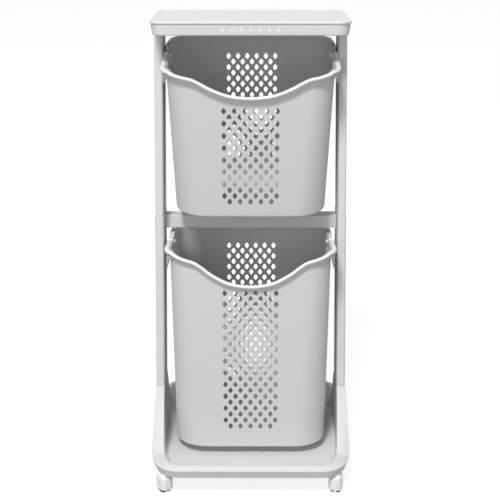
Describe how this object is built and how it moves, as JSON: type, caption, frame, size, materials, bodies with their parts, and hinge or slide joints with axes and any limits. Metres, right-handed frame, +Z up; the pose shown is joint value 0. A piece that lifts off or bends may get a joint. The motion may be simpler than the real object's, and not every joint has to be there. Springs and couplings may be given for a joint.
{
  "type": "two-bin laundry hamper",
  "caption": "Rolling laundry hamper: a tray top on two leaning posts, a dished base on casters and two perforated baskets with swing handles.",
  "frame": {"origin": "on the floor under the middle of the base", "axes": "+Z up, front towards -Y, +X to the right seen from the front"},
  "size_m": [0.43, 0.416, 0.988],
  "materials": {
    "panel_plastic": "fine satin, very light grey",
    "frame_plastic": "satin, light grey",
    "basket_plastic": "satin, light grey",
    "handle_plastic": "smooth, white",
    "hood_plastic": "smooth, white",
    "wheel_tyre": "matt, black",
    "steel": "plated"
  },
  "bodies": {
    "frame": {"top_panel": "panel_plastic", "top_skirt": "frame_plastic", "upper_post_left": "frame_plastic", "upper_post_right": "frame_plastic", "lower_post_left": "frame_plastic", "lower_post_right": "frame_plastic", "basket_rail_left": "frame_plastic", "basket_rail_right": "frame_plastic", "mid_crossbar": "frame_plastic", "base_tray": "frame_plastic", "caster_fl_stem": "steel", "caster_fr_stem": "steel", "caster_rl_stem": "steel", "caster_rr_stem": "steel"},
    "upper_bin": {"upper_basket": "basket_plastic", "upper_handle_pin_left": "handle_plastic", "upper_handle_pin_right": "handle_plastic"},
    "upper_bail": {"upper_handle": "handle_plastic"},
    "lower_bin": {"lower_basket": "basket_plastic", "lower_handle_pin_left": "handle_plastic", "lower_handle_pin_right": "handle_plastic"},
    "lower_bail": {"lower_handle": "handle_plastic"},
    "caster_fl_fork": {"caster_fl_hood": "hood_plastic", "caster_fl_axle": "steel"},
    "caster_fl_roller_inner": {"caster_fl_wheel_inner": "wheel_tyre"},
    "caster_fl_roller_outer": {"caster_fl_wheel_outer": "wheel_tyre"},
    "caster_fr_fork": {"caster_fr_hood": "hood_plastic", "caster_fr_axle": "steel"},
    "caster_fr_roller_inner": {"caster_fr_wheel_inner": "wheel_tyre"},
    "caster_fr_roller_outer": {"caster_fr_wheel_outer": "wheel_tyre"},
    "caster_rl_fork": {"caster_rl_hood": "hood_plastic", "caster_rl_axle": "steel"},
    "caster_rl_roller_inner": {"caster_rl_wheel_inner": "wheel_tyre"},
    "caster_rl_roller_outer": {"caster_rl_wheel_outer": "wheel_tyre"},
    "caster_rr_fork": {"caster_rr_hood": "hood_plastic", "caster_rr_axle": "steel"},
    "caster_rr_roller_inner": {"caster_rr_wheel_inner": "wheel_tyre"},
    "caster_rr_roller_outer": {"caster_rr_wheel_outer": "wheel_tyre"}
  },
  "joints": [
    {"name": "upper_basket_slide", "type": "slide", "parent": "frame", "child": "upper_bin", "axis": [0, -0.9921, -0.1253], "range_m": [0, 0.2]},
    {"name": "upper_handle_swing", "type": "hinge", "parent": "upper_bin", "child": "upper_bail", "pos_m": [0, 0.006, 0.909], "axis": [-1, 0, 0], "range_deg": [0, 18]},
    {"name": "lower_basket_slide", "type": "slide", "parent": "frame", "child": "lower_bin", "axis": [0, -0.9968, 0.0797], "range_m": [0, 0.25]},
    {"name": "lower_handle_swing", "type": "hinge", "parent": "lower_bin", "child": "lower_bail", "pos_m": [0, 0.007, 0.508], "axis": [-1, 0, 0], "range_deg": [0, 48]},
    {"name": "caster_fl_swivel", "type": "hinge", "parent": "frame", "child": "caster_fl_fork", "pos_m": [-0.1825, -0.1755, 0.05], "axis": [0, 0, 1], "continuous": true},
    {"name": "caster_fl_roll_inner", "type": "hinge", "parent": "caster_fl_fork", "child": "caster_fl_roller_inner", "pos_m": [-0.18468, -0.17214, 0.016], "axis": [0.8387, 0.5446, 0], "continuous": true},
    {"name": "caster_fl_roll_outer", "type": "hinge", "parent": "caster_fl_fork", "child": "caster_fl_roller_outer", "pos_m": [-0.18468, -0.17214, 0.016], "axis": [0.8387, 0.5446, 0], "continuous": true},
    {"name": "caster_fr_swivel", "type": "hinge", "parent": "frame", "child": "caster_fr_fork", "pos_m": [0.1825, -0.1755, 0.05], "axis": [0, 0, 1], "continuous": true},
    {"name": "caster_fr_roll_inner", "type": "hinge", "parent": "caster_fr_fork", "child": "caster_fr_roller_inner", "pos_m": [0.18333, -0.17159, 0.016], "axis": [0.9781, -0.2079, 0], "continuous": true},
    {"name": "caster_fr_roll_outer", "type": "hinge", "parent": "caster_fr_fork", "child": "caster_fr_roller_outer", "pos_m": [0.18333, -0.17159, 0.016], "axis": [0.9781, -0.2079, 0], "continuous": true},
    {"name": "caster_rl_swivel", "type": "hinge", "parent": "frame", "child": "caster_rl_fork", "pos_m": [-0.1825, 0.1755, 0.05], "axis": [0, 0, 1], "continuous": true},
    {"name": "caster_rl_roll_inner", "type": "hinge", "parent": "caster_rl_fork", "child": "caster_rl_roller_inner", "pos_m": [-0.1825, 0.1795, 0.016], "axis": [1, 0, 0], "continuous": true},
    {"name": "caster_rl_roll_outer", "type": "hinge", "parent": "caster_rl_fork", "child": "caster_rl_roller_outer", "pos_m": [-0.1825, 0.1795, 0.016], "axis": [1, 0, 0], "continuous": true},
    {"name": "caster_rr_swivel", "type": "hinge", "parent": "frame", "child": "caster_rr_fork", "pos_m": [0.1825, 0.1755, 0.05], "axis": [0, 0, 1], "continuous": true},
    {"name": "caster_rr_roll_inner", "type": "hinge", "parent": "caster_rr_fork", "child": "caster_rr_roller_inner", "pos_m": [0.1825, 0.1795, 0.016], "axis": [1, 0, 0], "continuous": true},
    {"name": "caster_rr_roll_outer", "type": "hinge", "parent": "caster_rr_fork", "child": "caster_rr_roller_outer", "pos_m": [0.1825, 0.1795, 0.016], "axis": [1, 0, 0], "continuous": true}
  ]
}
